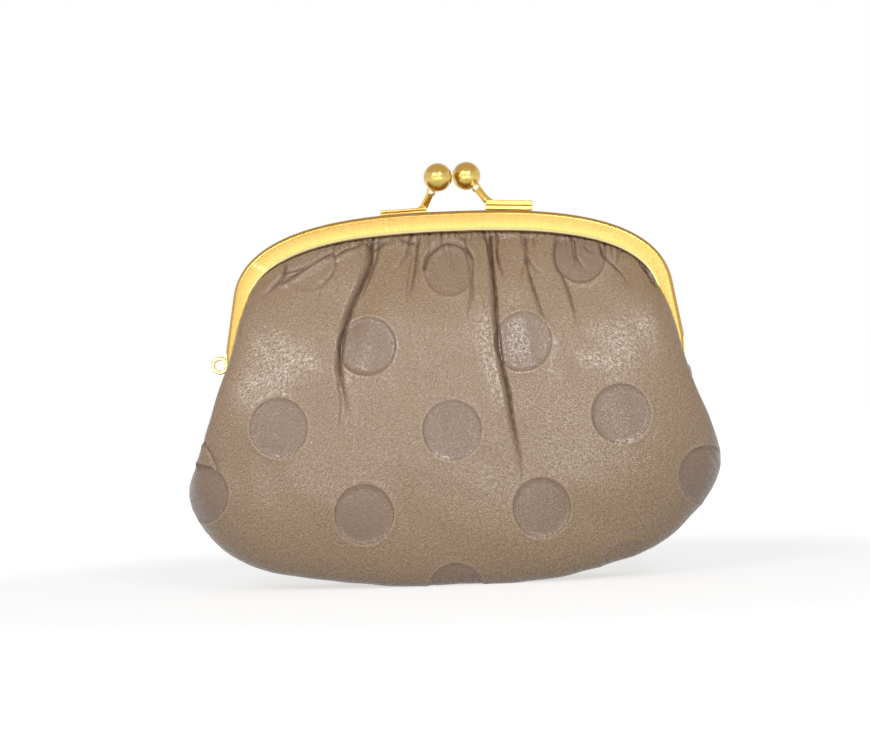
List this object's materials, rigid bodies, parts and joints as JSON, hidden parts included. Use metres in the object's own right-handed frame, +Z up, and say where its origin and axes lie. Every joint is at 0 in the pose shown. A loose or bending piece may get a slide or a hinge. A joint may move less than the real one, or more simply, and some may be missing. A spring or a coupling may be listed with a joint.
{
  "type": "kiss lock purse",
  "caption": "Coin purse with a hinged metal frame, a crossing ball lock, a strap eye and a gathered, lined leather pouch with pressed dots.",
  "frame": {"origin": "on the floor under the middle of the purse, at the bottom seam", "axes": "+X to the right along the hinge axis, +Y to the back, +Z up to the lock"},
  "size_m": [0.1356, 0.0388, 0.1091],
  "materials": {
    "frame_gold": "gold-coloured, brushed across the face, satin",
    "lock_gold": "gold-coloured, satin, pale solder at the neck",
    "ball_gold": "gold-coloured, finely brushed, half gloss",
    "rivet_gold": "pale gold, polished",
    "pouch_leather": "taupe matt leather with fine grain and pressed polka dots",
    "lining_cloth": "plain woven cotton lining, matt",
    "paper_cord": "twisted kraft paper cord"
  },
  "bodies": {
    "pouch": {"front_leather_panel": "pouch_leather", "rear_leather_panel": "pouch_leather", "front_lining": "lining_cloth", "rear_lining": "lining_cloth"},
    "front_half": {"front_frame": "frame_gold", "front_knob_plate": "lock_gold", "front_knob_arm": "lock_gold", "front_knob_ball": "ball_gold", "front_frame_cord": "paper_cord"},
    "rear_half": {"rear_frame": "frame_gold", "rear_knob_plate": "lock_gold", "rear_knob_arm": "lock_gold", "rear_knob_ball": "ball_gold", "rear_frame_cord": "paper_cord", "right_hinge_rivet": "rivet_gold"},
    "strap_eye": {"left_hinge_eye_rivet": "rivet_gold"}
  },
  "joints": [
    {"name": "front_open", "type": "hinge", "parent": "pouch", "child": "front_half", "pos_m": [0, 0, 0.0585], "axis": [1, 0, 0], "range_deg": [0, 40], "deforming": ["front_leather_panel", "front_lining"]},
    {"name": "rear_open", "type": "hinge", "parent": "pouch", "child": "rear_half", "pos_m": [0, 0, 0.0585], "axis": [1, 0, 0], "range_deg": [-40, 0], "deforming": ["rear_leather_panel", "rear_lining"]},
    {"name": "strap_eye_swivel", "type": "hinge", "parent": "pouch", "child": "strap_eye", "pos_m": [-0.0585, 0, 0.0585], "axis": [1, 0, 0], "continuous": true}
  ],
  "couplings": [
    {"joint": "rear_open", "follows": "front_open", "ratio": -1}
  ]
}
